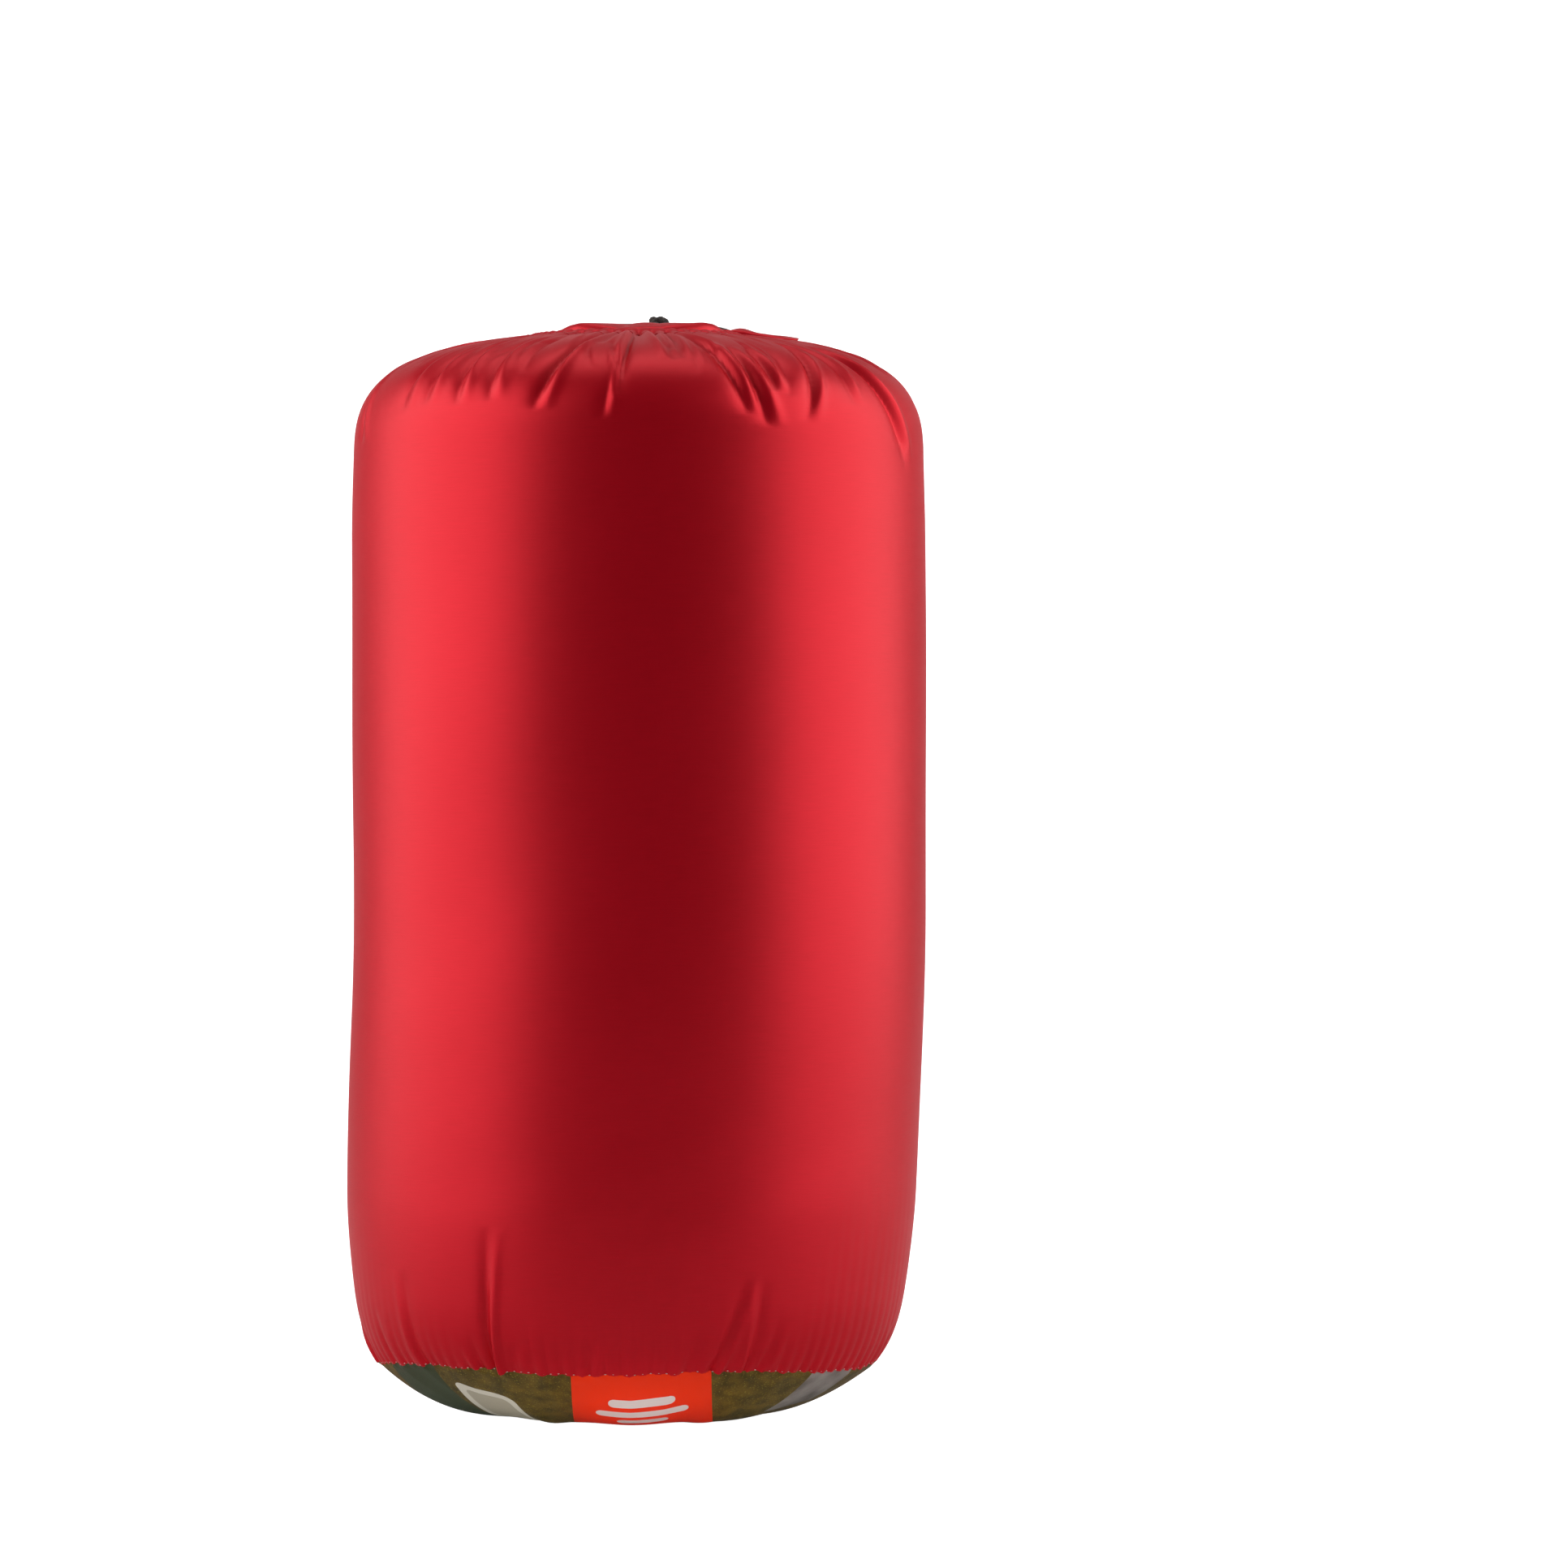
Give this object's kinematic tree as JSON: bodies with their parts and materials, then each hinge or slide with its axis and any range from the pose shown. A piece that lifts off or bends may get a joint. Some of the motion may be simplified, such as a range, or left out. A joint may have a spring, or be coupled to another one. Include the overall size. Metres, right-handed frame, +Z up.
{
  "type": "rectangular sleeping bag",
  "caption": "Rectangular sleeping bag rolled inside an upright round-bottomed drawcord stuff sack with a rounded, gathered shoulder.",
  "frame": {"origin": "centre of the base panel's flat face, on the floor, under the sack's axis", "axes": "+Z up along the sack's axis to the gathered mouth, -Y towards the side shown in the picture, +X to that side's right"},
  "size_m": [0.227, 0.227, 0.4401],
  "materials": {
    "sack_taffeta": "satin",
    "printed_base": "satin",
    "cord_braid": "matte",
    "lock_plastic": "matte",
    "spring_steel": "satin",
    "bag_shell": "satin",
    "batt_fibre": "matte",
    "bag_liner": "matte",
    "zip_nylon": "matte",
    "zip_metal": "satin",
    "hook_plastic": "matte",
    "loop_pile": "matte",
    "elastic_webbing": "matte",
    "label_cloth": "matte"
  },
  "bodies": {
    "sack": {"sack_tube": "sack_taffeta", "base_panel": "printed_base", "storm_flap": "sack_taffeta", "drawcord_ring": "cord_braid", "drawcord_tail_left": "cord_braid", "drawcord_tail_right": "cord_braid", "cord_end_knot": "cord_braid", "outer_shell": "bag_shell", "insulation_batt": "batt_fibre", "liner": "bag_liner", "zip_half_outer": "zip_nylon", "zip_half_inner": "zip_nylon", "hook_tab": "hook_plastic", "loop_tab": "loop_pile", "roll_tie_upper": "elastic_webbing", "roll_tie_lower": "elastic_webbing", "care_label": "label_cloth"},
    "cord_lock": {"cord_lock_barrel": "lock_plastic", "cord_lock_spring": "spring_steel"},
    "lock_button": {"cord_lock_button": "lock_plastic"},
    "slider": {"zip_slider": "zip_metal"},
    "pull": {"zip_pull_tab": "zip_metal"}
  },
  "joints": [
    {"name": "cord_lock_slide", "type": "slide", "parent": "sack", "child": "cord_lock", "axis": [0, 0.9816, -0.1908], "range_m": [0, 0.015]},
    {"name": "cord_lock_button_press", "type": "slide", "parent": "cord_lock", "child": "lock_button", "axis": [-1, 0, 0], "range_m": [0, 0.0045], "stiffness_N_per_m": 400, "springref_m": -0.004, "deforming": ["cord_lock_spring"]},
    {"name": "zip_slider_run", "type": "hinge", "parent": "sack", "child": "slider", "pos_m": [0, 0, 0.379], "axis": [0, 0, 1], "range_deg": [0, 40]},
    {"name": "zip_pull_swing", "type": "hinge", "parent": "slider", "child": "pull", "pos_m": [0.0502, -0.09131, 0.3832], "axis": [0.4818, -0.8763, 0], "range_deg": [-180, 0]}
  ]
}
